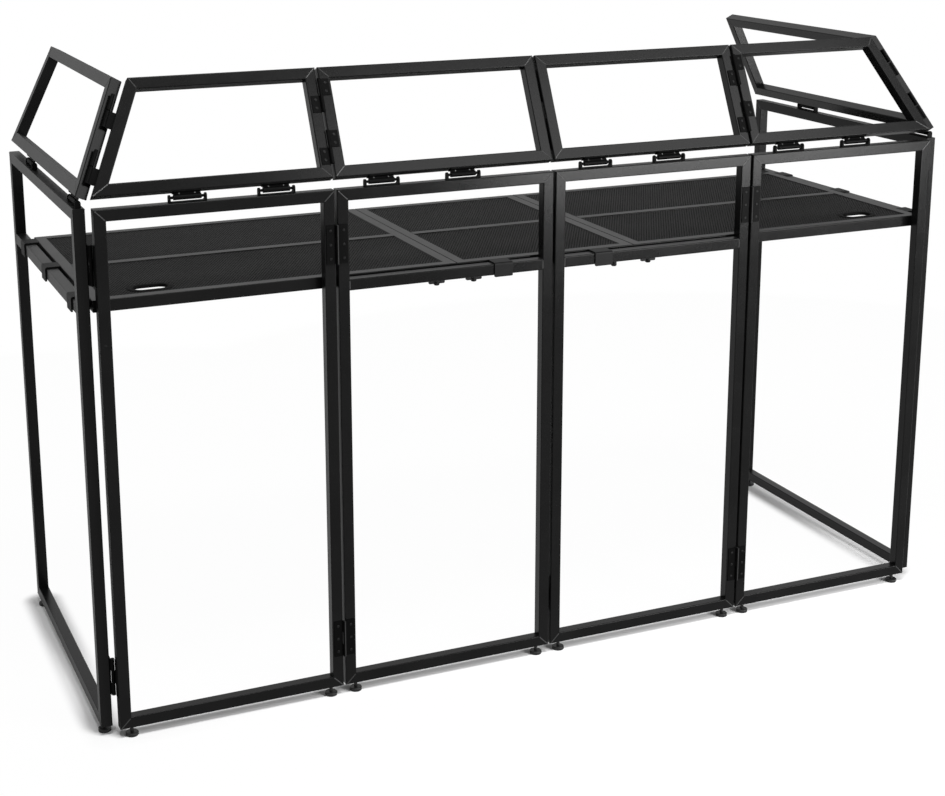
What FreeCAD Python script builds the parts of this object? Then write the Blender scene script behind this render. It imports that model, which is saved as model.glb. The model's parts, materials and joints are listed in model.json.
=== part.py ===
"""A folding DJ booth: hinged lower frames, leaning upper frames and a table in sections. Millimetres."""
import FreeCAD, Part
import math
import os

V = FreeCAD.Vector
X_AXIS = V(1, 0, 0)
Y_AXIS = V(0, 1, 0)
Z_AXIS = V(0, 0, 1)

# Square tube that every frame is welded from
tube = 25.0
wall = 1.5
tube_corner = 2.0

# Lower frames
panel_width = 510.6
panel_gap = 5.4
panel_height = 1140.0
side_depth = 752.0
side_gap = 11.0
side_setback = 2.0
foot_height = 22.0
crossbar_height = 25.0

# Upper frames
upper_height = 245.0
upper_lean = 26.0
pin_over_rail = 10.0
upper_over_pin = 12.0

# Butt hinges between the lower frames
leaf_height = 85.0
leaf_reach = 24.0
leaf_thickness = 2.0
knuckle_radius = 4.0
hinge_pin_radius = 2.2
hinge_from_end = 74.5
knuckle_gap = 0.3
pin_clearance = 0.05
corner_leaf_reach = 20.0
corner_axis_ahead = 5.0

# Tilt hinges under the upper frames
ear_thickness = 4.0
ear_radius = 6.0
ear_span = 80.0
tilt_pin_radius = 3.0
strap_width = 58.0
strap_radius = 5.5
strap_thickness = 2.5
strap_depth = 20.0
tilt_first = 105.0
tilt_first_left = 196.0
tilt_spacing = 190.0
tilt_side_places = (45.0, 520.0)

# Lift-off hinges between the upper frames
flag_half = 37.0
flag_gap = 0.5
corner_flag_gap = 2.0
flag_leaf_width = 20.0
flag_low = 66.0
flag_high = 181.0
flag_pin_radius = 2.0
flag_web = 3.0

# Table
table_below_rail = 193.0
table_front = 32.0
table_depth = 652.0
table_height = 26.0
table_side_gap = 6.0
centre_width = 445.0
seam = 1.0
sheet_thickness = 1.5
sheet_recess = 2.0
end_opening_count = 12
centre_opening_count = 6
opening_rows = 5
opening_share = 0.6

# Hook plates and seats that hold the table
hook_thickness = 3.5
hook_width = 44.0
hook_tab = 32.5
hook_bend = 4.5
hook_corner = 2.5
hook_clearance = 0.3
hook_overlap = 20.0
front_hook_x = 126.0
side_hook_places = (70.0, 352.0, 613.0)

# Joining plates, studs and wing nuts under the seams
plate_length = 130.0
plate_width = 22.0
plate_thickness = 3.0
stud_radius = 3.0
stud_length = 18.0
stud_clearance = 0.3
stud_from_seam = 45.0
nut_radius = 6.5
nut_height = 20.0
nut_dome = 3.0
nut_clearance = 0.3
wing_low = 4.0
wing_height = 9.0
wing_reach = 19.0
wing_round = 3.0
wing_thickness = 4.0
nut_turns = (0.0, 0.0, 60.0, 0.0)

# Cable grommets
grommet_length = 100.0
grommet_width = 60.0
grommet_slot_length = 74.0
grommet_slot_width = 38.0
grommet_rim = 1.5
grommet_from_end = 137.0
grommet_clearance = 0.2
grommet_edge_gap = 15.0

# Levelling feet
pad_radius = 14.0
pad_height = 8.0
pad_round = 2.0
foot_stud_radius = 4.0
foot_stud_in_tube = 10.0
foot_inset = 27.0

# Places that follow from the sizes above
pitch = panel_width + panel_gap
half_front = 2 * panel_width + 1.5 * panel_gap
side_inner = half_front + side_gap
side_outer = side_inner + tube
hinge_stand_off = knuckle_radius + knuckle_gap
front_face = (hinge_stand_off + knuckle_radius - tube - side_setback - side_depth) / 2
side_front = front_face + tube + side_setback
tilt_axis_y = front_face + tube / 2
tilt_axis_x = side_inner + tube / 2
upper_inset = upper_height * math.sin(math.radians(upper_lean))
table_top = panel_height - table_below_rail
table_z = foot_height + table_top
table_y = front_face + table_front
table_edge_x = side_inner - table_side_gap
end_width = table_edge_x - centre_width / 2 - seam
end_centre = (table_edge_x + centre_width / 2 + seam) / 2
hinge_low = foot_height + hinge_from_end
hinge_high = foot_height + panel_height - hinge_from_end - leaf_height
upper_end_slope = upper_inset / upper_height

os.makedirs("parts", exist_ok=True)


def save(name, solids):
    Part.makeCompound(solids).exportStep("parts/" + name + ".step")


def box(low, high):
    size = high - low
    return Part.makeBox(size.x, size.y, size.z, low)


def rod(radius, length, base, direction):
    return Part.makeCylinder(radius, length, base, direction)


def placed(shape, placement):
    moved = shape.copy()
    moved.Placement = placement.multiply(moved.Placement)
    return moved


def all_placed(shapes, placement):
    return [placed(shape, placement) for shape in shapes]


def inner_outline(points, inset):
    """Offsets a counter-clockwise outline in the XZ plane inwards."""
    count = len(points)
    lines = []
    for i in range(count):
        run = (points[(i + 1) % count] - points[i]).normalize()
        inward = V(-run.z, 0, run.x)
        lines.append((points[i] + inward * inset, run))
    corners = []
    for i in range(count):
        base, run = lines[i - 1]
        other, turn = lines[i]
        across = V(-turn.z, 0, turn.x)
        corners.append(base + run * ((other - base).dot(across) / run.dot(across)))
    return corners


def square_tube(start, end, inward, depth, reach):
    """A round-edged hollow bar along an outline's edge, past it by reach at both ends, centred on y = 0."""
    run = (end - start).normalize()
    length = (end - start).Length + 2 * reach
    outer = Part.makeBox(length, depth, tube, V(-reach, -depth / 2, 0))
    long_edges = [edge for edge in outer.Edges if abs(edge.tangentAt(0).x) > 0.9]
    outer = outer.makeFillet(tube_corner, long_edges)
    bore = depth - 2 * wall
    inside = Part.makeBox(length + tube, bore, tube - 2 * wall, V(-reach - tube / 2, -bore / 2, wall))
    turn = FreeCAD.Rotation(run, run.cross(inward) * -1, inward, "XZY")
    return placed(outer.cut(inside), FreeCAD.Placement(start, turn))


def welded_frame(points, depth):
    """Mitred tubes round a counter-clockwise outline in the XZ plane, centred on y = 0."""
    inner = inner_outline(points, tube)
    count = len(points)
    tubes = []
    for i in range(count):
        after = (i + 1) % count
        run = (points[after] - points[i]).normalize()
        inward = V(-run.z, 0, run.x)
        slope_start = inner[i] - points[i]
        slope_end = inner[after] - points[after]
        wedge = [points[i] - slope_start, points[after] - slope_end]
        wedge += [inner[after] + slope_end, inner[i] + slope_start]
        outline = Part.makePolygon([point - V(0, depth, 0) for point in wedge + wedge[:1]])
        mitre = Part.Face(outline).extrude(V(0, 2 * depth, 0))
        tubes.append(square_tube(points[i], points[after], inward, depth, 2 * tube).common(mitre).Solids[0])
    return tubes


def rectangle(width, height):
    return [V(0, 0, 0), V(width, 0, 0), V(width, 0, height), V(0, 0, height)]


def bar(low, high, along):
    """A straight hollow bar with round edges between two corners, along one of the axes."""
    outer = box(low, high)
    long_edges = [edge for edge in outer.Edges if abs(edge.tangentAt(0).dot(along)) > 0.9]
    outer = outer.makeFillet(tube_corner, long_edges)
    across = V(1, 1, 1) - along
    inset = across * wall - along * tube
    return outer.cut(box(low + inset, high - inset))


def lower_frame(width, crossbar):
    """A lower frame in the XZ plane with its bottom left corner at the origin, and holes for its feet."""
    tubes = welded_frame(rectangle(width, panel_height), tube)
    for place in (foot_inset, width - foot_inset):
        hole = rod(foot_stud_radius + pin_clearance, 2 * wall, V(place, 0, -wall / 2), Z_AXIS)
        tubes[0] = tubes[0].cut(hole)
    if crossbar:
        top = table_top - hook_thickness
        low = V(tube, -tube / 2, top - crossbar_height)
        tubes.append(bar(low, V(width - tube, tube / 2, top), X_AXIS))
    return tubes


def foot():
    """A levelling foot with its pad on the floor at the origin."""
    pad = rod(pad_radius, pad_height, V(0, 0, 0), Z_AXIS)
    pad = pad.makeFillet(pad_round, [edge for edge in pad.Edges if len(edge.Vertexes) == 1])
    stud_height = foot_height + wall + foot_stud_in_tube - pad_height
    return pad.fuse(rod(foot_stud_radius, stud_height, V(0, 0, pad_height), Z_AXIS)).removeSplitter()


def hinge_leaf(sign, outer_knuckles, stand_off, reach):
    """A leaf along x from a pin on the z axis, backed at y = stand_off, with the outer or middle knuckles."""
    third = leaf_height / 3
    spans = [(third, 2 * third)]
    if outer_knuckles:
        spans = [(0, third - knuckle_gap), (2 * third + knuckle_gap, leaf_height)]
    face = stand_off - leaf_thickness
    inner = knuckle_radius + 2 * knuckle_gap
    leaf = box(V(inner, face, 0), V(reach, stand_off, leaf_height))
    for low, high in spans:
        leaf = leaf.fuse(box(V(0, face, low), V(inner, stand_off, high)))
        leaf = leaf.fuse(rod(knuckle_radius, high - low, V(0, 0, low), Z_AXIS))
    leaf = leaf.cut(rod(hinge_pin_radius + pin_clearance, leaf_height, V(0, 0, 0), Z_AXIS)).removeSplitter()
    return leaf if sign > 0 else leaf.mirror(V(0, 0, 0), X_AXIS)


def hinge_pin():
    return rod(hinge_pin_radius, leaf_height, V(0, 0, 0), Z_AXIS)


def butt_hinge():
    """Both leaves and the pin of a hinge over a seam, one leaf towards -x and one towards +x."""
    left = hinge_leaf(-1, True, hinge_stand_off, leaf_reach)
    right = hinge_leaf(1, False, hinge_stand_off, leaf_reach)
    return left, right, hinge_pin()


def corner_hinge(sign):
    """A hinge beside an end frame: a leaf forwards on that frame, and one backwards on the side frame."""
    front_leaf = hinge_leaf(1, False, side_gap / 2, corner_leaf_reach)
    back_leaf = hinge_leaf(1, True, side_gap / 2, corner_leaf_reach)
    front_leaf = placed(front_leaf, FreeCAD.Placement(V(0, 0, 0), FreeCAD.Rotation(Z_AXIS, -90)))
    back_leaf = placed(back_leaf, FreeCAD.Placement(V(0, 0, 0), FreeCAD.Rotation(Z_AXIS, 90)))
    solids = [front_leaf, back_leaf, hinge_pin()]
    return solids if sign < 0 else [solid.mirror(V(0, 0, 0), X_AXIS) for solid in solids]


def tilt_ears():
    """Two ears and their pin along x, with the pin's axis through the origin."""
    solids = []
    for low in (-ear_span / 2, ear_span / 2 - ear_thickness):
        ear = box(V(low, -ear_radius, -pin_over_rail), V(low + ear_thickness, ear_radius, 0))
        ear = ear.fuse(rod(ear_radius, ear_thickness, V(low, 0, 0), X_AXIS))
        solids.append(ear.cut(rod(tilt_pin_radius + pin_clearance, ear_span, V(-ear_span / 2, 0, 0), X_AXIS)))
    solids.append(rod(tilt_pin_radius, ear_span, V(-ear_span / 2, 0, 0), X_AXIS))
    return solids


def tilt_strap():
    """The strap that wraps the pin and carries an upper frame's bottom rail."""
    half = strap_width / 2
    strap = rod(strap_radius, strap_width, V(-half, 0, 0), X_AXIS)
    strap = strap.fuse(box(V(-half, -strap_thickness / 2, 0), V(half, strap_thickness / 2, upper_over_pin)))
    low = upper_over_pin - leaf_thickness
    strap = strap.fuse(box(V(-half, -strap_depth / 2, low), V(half, strap_depth / 2, upper_over_pin)))
    bore = rod(tilt_pin_radius + pin_clearance, strap_width, V(-half, 0, 0), X_AXIS)
    return strap.cut(bore).removeSplitter()


def flag_halves(edge_x, sign, upper_half):
    """Both lift-off halves beside a straight edge: a leaf on the outer face and a knuckle over the seam."""
    axis_y = -tube / 2 - flag_gap - knuckle_radius
    axis_x = edge_x + sign * panel_gap / 2
    solids = []
    for centre in (flag_low, flag_high):
        low = upper_over_pin + centre + (flag_gap / 2 if upper_half else -flag_half)
        high = low + flag_half - flag_gap / 2
        xs = sorted((edge_x - sign * flag_leaf_width, axis_x))
        leaf = box(V(xs[0], -tube / 2 - leaf_thickness, low), V(xs[1], -tube / 2, high))
        overhang = sorted((edge_x, axis_x))
        clear = box(V(overhang[0], -tube / 2 - flag_gap, low), V(overhang[1], 0, high))
        knuckle = rod(knuckle_radius, high - low, V(axis_x, axis_y, low), Z_AXIS)
        half = leaf.cut(clear).fuse(knuckle)
        bore = rod(flag_pin_radius + pin_clearance, high - low, V(axis_x, axis_y, low), Z_AXIS)
        solids.append(half.cut(bore).removeSplitter())
        if not upper_half:
            solids.append(rod(flag_pin_radius, high - low, V(axis_x, axis_y, low), Z_AXIS))
    return solids


def corner_flag_halves(edge_start, sign, reach, upper_half):
    """Both lift-off halves beside a slanted edge: a web that stands off the edge and carries a knuckle."""
    slant = math.atan(upper_end_slope)
    stand_off = reach * math.cos(slant)
    solids = []
    for centre in (flag_low, flag_high):
        split = (centre - stand_off * math.sin(slant)) / math.cos(slant)
        low = split + (corner_flag_gap / 2 if upper_half else -flag_half)
        high = low + flag_half - corner_flag_gap / 2
        xs = sorted((0, sign * stand_off))
        half = box(V(xs[0], -flag_web / 2, low), V(xs[1], flag_web / 2, high))
        knuckle = rod(knuckle_radius, high - low, V(sign * stand_off, 0, low), Z_AXIS)
        bore = rod(flag_pin_radius + pin_clearance, high - low, V(sign * stand_off, 0, low), Z_AXIS)
        solids.append(half.fuse(knuckle).cut(bore).removeSplitter())
        if not upper_half:
            solids.append(rod(flag_pin_radius, high - low, V(sign * stand_off, 0, low), Z_AXIS))
    lean = FreeCAD.Rotation(Y_AXIS, -sign * math.degrees(slant))
    return all_placed(solids, FreeCAD.Placement(edge_start, lean))


def upright(place_x):
    """Stands a front frame's own plane at its place along the front."""
    return FreeCAD.Placement(V(place_x, front_face + tube / 2, foot_height), FreeCAD.Rotation())


def side_turn(sign):
    return FreeCAD.Rotation(Z_AXIS, 90 * sign)


def side_upright(sign):
    """Stands a side frame's own plane at its side: its left end is at the back on the left side."""
    start = side_front if sign > 0 else side_front + side_depth
    return FreeCAD.Placement(V(sign * tilt_axis_x, start, foot_height), side_turn(sign))


def leaning(base):
    """Raises a placement to the tilt axis and leans it inwards."""
    lean = FreeCAD.Placement(V(0, 0, panel_height + pin_over_rail), FreeCAD.Rotation(X_AXIS, -upper_lean))
    return base.multiply(lean)


def upper_outline(width, left_inset, right_inset):
    low = upper_over_pin
    high = upper_over_pin + upper_height
    return [V(0, 0, low), V(width, 0, low), V(width - right_inset, 0, high), V(left_inset, 0, high)]


# Front frames, from left to right
front_lefts = [-half_front + i * pitch for i in range(4)]
has_crossbar = (False, True, True, False)
for i in range(4):
    tubes = lower_frame(panel_width, has_crossbar[i])
    save("front_frame_%d" % (i + 1), all_placed(tubes, upright(front_lefts[i])))

# Side frames
side_signs = {"left": -1, "right": 1}
for side, sign in side_signs.items():
    save("side_frame_" + side, all_placed(lower_frame(side_depth, True), side_upright(sign)))

# Butt hinges: leaves and pins kept with the frames that carry them
leaves = {"front_left": [], "middle": [], "front_right": [], "side_left": [], "side_right": []}
seam_y = front_face - hinge_stand_off
for z in (hinge_low, hinge_high):
    for x, outer, outer_sign in ((-pitch, "front_left", -1), (pitch, "front_right", 1)):
        left, right, pin = all_placed(butt_hinge(), FreeCAD.Placement(V(x, seam_y, z), FreeCAD.Rotation()))
        leaves[outer].append(left if outer_sign < 0 else right)
        leaves["middle"] += [right if outer_sign < 0 else left, pin]
    back = FreeCAD.Placement(V(0, front_face + tube + hinge_stand_off, z), FreeCAD.Rotation(Z_AXIS, 180))
    leaves["middle"] += all_placed(butt_hinge(), back)
    for side, sign in side_signs.items():
        corner = V(sign * (half_front + side_gap / 2), side_front - corner_axis_ahead, z)
        place = FreeCAD.Placement(corner, FreeCAD.Rotation())
        front_leaf, back_leaf, pin = all_placed(corner_hinge(sign), place)
        leaves["front_" + side] += [front_leaf, pin]
        leaves["side_" + side].append(back_leaf)
for frame, solids in leaves.items():
    save("panel_hinges_" + frame, solids)

# Upper frames with their straps, lift-off hinge halves and the ears under them
ears = {"front_left": [], "middle": [], "front_right": []}
ear_owner = ("front_left", "middle", "middle", "front_right")
front_reach = side_gap + tube / 2 - upper_over_pin * upper_end_slope
side_reach = side_setback + tube / 2 - upper_over_pin * upper_end_slope
for i in range(4):
    name = "upper_%d" % (i + 1)
    base = upright(front_lefts[i])
    pose = leaning(base)
    left_inset = upper_inset if i == 0 else 0
    right_inset = upper_inset if i == 3 else 0
    tubes = welded_frame(upper_outline(panel_width, left_inset, right_inset), tube)
    save(name + "_frame", all_placed(tubes, pose))
    first = tilt_first_left if i == 0 else tilt_first
    straps = []
    for place in (first, first + tilt_spacing):
        along = FreeCAD.Placement(V(place, 0, 0), FreeCAD.Rotation())
        straps.append(placed(tilt_strap(), pose.multiply(along)))
        on_rail = FreeCAD.Placement(V(place, 0, panel_height + pin_over_rail), FreeCAD.Rotation())
        ears[ear_owner[i]] += all_placed(tilt_ears(), base.multiply(on_rail))
    save(name + "_straps", straps)
    back_turn = FreeCAD.Placement(V(panel_width / 2, 0, 0), FreeCAD.Rotation(Z_AXIS, 180))
    back_turn = back_turn.multiply(FreeCAD.Placement(V(-panel_width / 2, 0, 0), FreeCAD.Rotation()))
    halves = []
    if i == 0:
        halves += corner_flag_halves(V(0, 0, upper_over_pin), -1, front_reach, False)
        halves += flag_halves(panel_width, 1, False)
    elif i == 1:
        halves += flag_halves(0, -1, True)
        halves += all_placed(flag_halves(0, -1, False), back_turn)
    elif i == 2:
        halves += all_placed(flag_halves(panel_width, 1, True), back_turn)
        halves += flag_halves(panel_width, 1, False)
    else:
        halves += flag_halves(0, -1, True)
        halves += corner_flag_halves(V(panel_width, 0, upper_over_pin), 1, front_reach, False)
    save(name + "_liftoff_hinges", all_placed(halves, pose))

for side, sign in side_signs.items():
    name = "upper_" + side
    base = side_upright(sign)
    pose = leaning(base)
    insets = (0, upper_inset) if sign < 0 else (upper_inset, 0)
    save(name + "_frame", all_placed(welded_frame(upper_outline(side_depth, *insets), tube), pose))
    straps = []
    side_ears = []
    for from_front in tilt_side_places:
        place = from_front if sign > 0 else side_depth - from_front
        along = FreeCAD.Placement(V(place, 0, 0), FreeCAD.Rotation())
        straps.append(placed(tilt_strap(), pose.multiply(along)))
        on_rail = FreeCAD.Placement(V(place, 0, panel_height + pin_over_rail), FreeCAD.Rotation())
        side_ears += all_placed(tilt_ears(), base.multiply(on_rail))
    save(name + "_straps", straps)
    ears["side_" + side] = side_ears
    front_end = side_depth if sign < 0 else 0
    halves = corner_flag_halves(V(front_end, 0, upper_over_pin), -sign, side_reach, True)
    save(name + "_liftoff_hinges", all_placed(halves, pose))

for frame, solids in ears.items():
    save("tilt_ears_" + frame, solids)

# Table sections: edge tubes, a tube along the middle and two sheets each
flat = FreeCAD.Placement(V(0, table_y, table_z - table_height / 2), FreeCAD.Rotation(X_AXIS, 90))
mid_y = table_depth / 2
sections = {"left": (-end_centre, end_width), "centre": (0, centre_width), "right": (end_centre, end_width)}
grommet_y = table_y + tube + grommet_edge_gap + grommet_width / 2
grommet_z = table_z - sheet_recess
grommet_x = {"left": grommet_from_end - table_edge_x, "right": table_edge_x - grommet_from_end}
grommets = []
sheets = []


def oval(length, width, low, high):
    """An upright solid with round ends, centred on the z axis and lying along x."""
    radius = width / 2
    straight = length / 2 - radius
    solid = box(V(-straight, -radius, low), V(straight, radius, high))
    for end in (-straight, straight):
        solid = solid.fuse(rod(radius, high - low, V(end, 0, low), Z_AXIS))
    return solid.removeSplitter()


def sheet_openings(low, high, across):
    """Plain openings in rows over a sheet between two corners."""
    step = V((high.x - low.x) / across, (high.y - low.y) / opening_rows, 0)
    edge = (1 - opening_share) / 2
    cells = []
    for column in range(across):
        for row in range(opening_rows):
            start = low + V((column + edge) * step.x, (row + edge) * step.y, 0)
            end = start + V(step.x * opening_share, step.y * opening_share, high.z - low.z)
            cells.append(box(start, end))
    return cells


for section, (centre, width) in sections.items():
    left = centre - width / 2
    across = centre_opening_count if section == "centre" else end_opening_count
    outline = [point + V(left, 0, -table_depth) for point in rectangle(width, table_depth)]
    frame_tubes = all_placed(welded_frame(outline, table_height), flat)
    mid_low = V(left + tube, table_y + mid_y - tube / 2, table_z - table_height)
    mid_high = V(left + width - tube, table_y + mid_y + tube / 2, table_z)
    frame_tubes.append(bar(mid_low, mid_high, X_AXIS))
    save("table_frame_" + section, frame_tubes)
    bays = []
    cells = []
    for low_y, high_y in ((tube, mid_y - tube / 2), (mid_y + tube / 2, table_depth - tube)):
        sheet_low = V(left + tube, table_y + low_y, grommet_z - sheet_thickness)
        sheet_high = V(left + width - tube, table_y + high_y, grommet_z)
        bays.append(box(sheet_low, sheet_high))
        cells.append(sheet_openings(sheet_low, sheet_high, across))
    if section != "centre":
        grommet_at = V(grommet_x[section], grommet_y, grommet_z)
        collar_length = grommet_slot_length + 2 * grommet_rim
        collar_width = grommet_slot_width + 2 * grommet_rim
        room = 2 * grommet_clearance
        hole = oval(collar_length + room, collar_width + room, -sheet_thickness, 0)
        hole.translate(grommet_at)
        bays[0] = bays[0].cut(hole)
        rim = oval(grommet_length, grommet_width, 0, grommet_rim)
        collar = oval(collar_length, collar_width, -sheet_thickness, 0)
        slot = oval(grommet_slot_length, grommet_slot_width, -tube, tube)
        grommet = rim.fuse(collar).cut(slot).removeSplitter()
        grommet.translate(grommet_at)
        grommets.append(grommet)
        cells[0] = [cell for cell in cells[0] if not cell.BoundBox.intersect(grommet.BoundBox)]
    sheets += [bay.cut(Part.makeCompound(holes)).Solids[0] for bay, holes in zip(bays, cells)]
save("table_sheets", sheets)
save("cable_grommets", grommets)


def hook_plate(reach):
    """A plate along x that lies back from the origin by reach, bent down in front over a crossbar."""
    half = hook_width / 2
    plate = box(V(-half, 0, -hook_thickness), V(half, reach, 0))
    plate = plate.fuse(box(V(-half, 0, -hook_tab), V(half, hook_thickness, 0))).removeSplitter()
    bend = [edge for edge in plate.Edges if edge.BoundBox.YMax < 0.1 and edge.BoundBox.ZMin > -0.1]
    plate = plate.makeFillet(hook_bend, bend)
    low_edges = [edge for edge in plate.Edges if edge.BoundBox.ZMax < 0.1 - hook_tab]
    corners = [edge for edge in low_edges if edge.BoundBox.YLength > 1]
    return plate.makeFillet(hook_corner, corners)


# Hook plates over the crossbars, level with the table's top: the front ones belong to the table
front_hooks = []
for x in (-front_hook_x, front_hook_x):
    corner = FreeCAD.Placement(V(x, front_face - hook_thickness, table_z), FreeCAD.Rotation())
    front_hooks.append(placed(hook_plate(table_front + hook_thickness), corner))
save("front_table_hooks", front_hooks)

# The side ones belong to the side frames, each with an upstand and a seat under the table's edge
for side, sign in side_signs.items():
    hooks = []
    outer = side_outer + hook_thickness
    tip = table_edge_x - hook_overlap
    seat_top = table_z - table_height - hook_clearance
    seat_low = seat_top - hook_thickness
    for place in side_hook_places:
        corner = FreeCAD.Placement(V(sign * outer, table_y + place, table_z), side_turn(sign))
        hooks.append(placed(hook_plate(outer - table_edge_x - hook_clearance), corner))
        low_y = table_y + place - hook_width / 2
        high_y = low_y + hook_width
        upstand_x = side_inner - hook_thickness
        upstand = box(V(upstand_x, low_y, seat_low), V(side_inner, high_y, table_z - hook_thickness))
        seat = box(V(tip, low_y, seat_low), V(upstand_x, high_y, seat_top))
        hooks += [plate if sign > 0 else plate.mirror(V(0, 0, 0), X_AXIS) for plate in (upstand, seat)]
    save("table_brackets_" + side, hooks)

# Joining plates under the seams, with studs and wing nuts
plate_y = table_y + tube / 2
plate_top = table_z - table_height
seam_x = centre_width / 2 + seam / 2
joining_plates = []
studs = []
nut_places = []
bore_low = plate_thickness + nut_height - stud_length
for x in (-seam_x, seam_x):
    low = V(x - plate_length / 2, plate_y - plate_width / 2, plate_top - plate_thickness)
    plate = box(low, V(x + plate_length / 2, plate_y + plate_width / 2, plate_top))
    for offset in (-stud_from_seam, stud_from_seam):
        at = V(x + offset, plate_y, plate_top)
        plate = plate.cut(rod(stud_radius + stud_clearance, plate_thickness, at, Z_AXIS * -1))
        studs.append(rod(stud_radius, stud_length, at, Z_AXIS * -1))
        nut_places.append(at - Z_AXIS * (plate_thickness + nut_clearance + nut_height))
    joining_plates.append(plate)
save("joining_plates", joining_plates)
save("joining_studs", studs)
for number, place in enumerate(nut_places, 1):
    nut = rod(nut_radius, nut_height, V(0, 0, 0), Z_AXIS)
    nut = nut.makeFillet(nut_dome, [edge for edge in nut.Edges if edge.BoundBox.ZMax < 0.1])
    half = wing_thickness / 2
    wings = box(V(-wing_reach, -half, wing_low), V(wing_reach, half, wing_low + wing_height))
    ends = [edge for edge in wings.Edges if edge.BoundBox.YLength > wing_thickness - 0.1]
    nut = nut.fuse(wings.makeFillet(wing_round, ends))
    bore = rod(stud_radius + pin_clearance, nut_height, V(0, 0, bore_low), Z_AXIS)
    nut = nut.cut(bore).removeSplitter()
    nut.rotate(V(0, 0, 0), Z_AXIS, nut_turns[number - 1])
    nut.translate(place)
    save("wing_nut_%d" % number, [nut])

# Levelling feet, two under each lower frame
foot_places = []
for left in front_lefts:
    foot_places += [V(left + foot_inset, tilt_axis_y, 0), V(left + panel_width - foot_inset, tilt_axis_y, 0)]
for sign in side_signs.values():
    for y in (side_front + foot_inset, side_front + side_depth - foot_inset):
        foot_places.append(V(sign * tilt_axis_x, y, 0))
for number, place in enumerate(foot_places, 1):
    standing = foot()
    standing.translate(place)
    save("foot_%d" % number, [standing])
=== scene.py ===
"""Looks of a folding DJ booth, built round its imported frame. Metres, +Z up, the audience towards -Y."""
import json
import math

import bmesh
import bpy
from mathutils import Matrix, Vector


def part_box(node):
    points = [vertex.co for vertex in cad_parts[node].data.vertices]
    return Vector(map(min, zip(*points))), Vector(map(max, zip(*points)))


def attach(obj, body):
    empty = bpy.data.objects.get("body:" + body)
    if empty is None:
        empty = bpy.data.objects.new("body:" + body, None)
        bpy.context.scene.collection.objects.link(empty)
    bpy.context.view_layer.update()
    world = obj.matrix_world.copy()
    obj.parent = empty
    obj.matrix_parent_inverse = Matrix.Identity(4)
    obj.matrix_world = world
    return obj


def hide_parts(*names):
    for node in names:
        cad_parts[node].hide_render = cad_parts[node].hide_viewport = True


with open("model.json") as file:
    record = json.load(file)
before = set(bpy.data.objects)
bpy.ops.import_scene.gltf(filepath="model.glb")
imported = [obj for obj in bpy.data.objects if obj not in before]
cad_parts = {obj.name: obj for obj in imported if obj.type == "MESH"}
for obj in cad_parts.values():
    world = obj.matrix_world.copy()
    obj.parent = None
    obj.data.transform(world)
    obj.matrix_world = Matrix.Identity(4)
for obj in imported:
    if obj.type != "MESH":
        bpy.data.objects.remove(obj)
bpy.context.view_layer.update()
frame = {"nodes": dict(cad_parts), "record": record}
scene = bpy.context.scene
record = frame["record"]

# The photograph's frame, and a camera at its viewpoint
IMAGE_WIDTH = 945
IMAGE_HEIGHT = 796
FOCAL_PIXELS = 1701.4
PRINCIPAL_X = 431.1
PRINCIPAL_Y = 270.4
SENSOR_MM = 36.0
FAR_CLIP = 100.0
CAMERA_PLACE = Vector((-1.7006, -3.7038, 1.8457))
CAMERA_YAW = math.radians(22.885)
CAMERA_PITCH = math.radians(-13.716)
CAMERA_ROLL = math.radians(-0.298)

# Sizes of the booth that the looks follow
TUBE = 0.025
LEAF_THICKNESS = 0.002
SHEET_THICKNESS = 0.0015
UPPER_OVER_PIN = 0.012
UPPER_SLANT = 0.245
PIN_OVER_RAIL = 0.010
HOOK_THICKNESS = 0.0035

ROOT = "middle_frames_and_table"
FRONT_BODIES = ("front_left", ROOT, ROOT, "front_right")

# Places read from the frame
joints = {joint["name"]: joint for joint in record["behaviour"]["joints"]}
LEAN = math.radians(joints["upper_2_tilt"]["range_deg"][1])
UPPER_INSET = UPPER_SLANT * math.sin(LEAN)


def node_box(name):
    low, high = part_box(name)
    return Vector(low), Vector(high)


FRONT_SEAM = (node_box("front_frame_3")[1].x + node_box("front_frame_4")[0].x) / 2

# Painted highlight on the knuckles' crests
CREST_NEAR = 0.0004
CREST_FAR = 0.0016
CREST_HIGHLIGHT_SHARE = 0.9
CREST_HIGHLIGHT_GREY = 0.035


# Camera


def photo_camera():
    """The photograph's viewpoint, pitched down at the booth, with a small shift for the framing."""
    data = bpy.data.cameras.new("photo_camera")
    data.sensor_fit = "HORIZONTAL"
    data.sensor_width = SENSOR_MM
    data.lens = FOCAL_PIXELS / IMAGE_WIDTH * SENSOR_MM
    data.shift_x = (IMAGE_WIDTH / 2 - PRINCIPAL_X) / IMAGE_WIDTH
    data.shift_y = (PRINCIPAL_Y - IMAGE_HEIGHT / 2) / IMAGE_WIDTH
    data.clip_end = FAR_CLIP
    forward = Vector((math.sin(CAMERA_YAW) * math.cos(CAMERA_PITCH),
                      math.cos(CAMERA_YAW) * math.cos(CAMERA_PITCH), math.sin(CAMERA_PITCH)))
    right = Vector((math.cos(CAMERA_YAW), -math.sin(CAMERA_YAW), 0.0))
    up = right.cross(forward)
    turned_right = right * math.cos(CAMERA_ROLL) + up * math.sin(CAMERA_ROLL)
    turned_up = up * math.cos(CAMERA_ROLL) - right * math.sin(CAMERA_ROLL)
    turn = Matrix((turned_right, turned_up, -forward)).transposed()
    camera = bpy.data.objects.new("photo_camera", data)
    camera.matrix_world = Matrix.Translation(CAMERA_PLACE) @ turn.to_4x4()
    scene.collection.objects.link(camera)
    scene.camera = camera


# Node helpers


def add_node(tree, kind, values=None, **settings):
    """A node with values on its inputs and settings of its own."""
    node = tree.nodes.new(kind)
    for key, value in settings.items():
        setattr(node, key, value)
    for key, value in (values or {}).items():
        node.inputs[key].default_value = value
    return node


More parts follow.
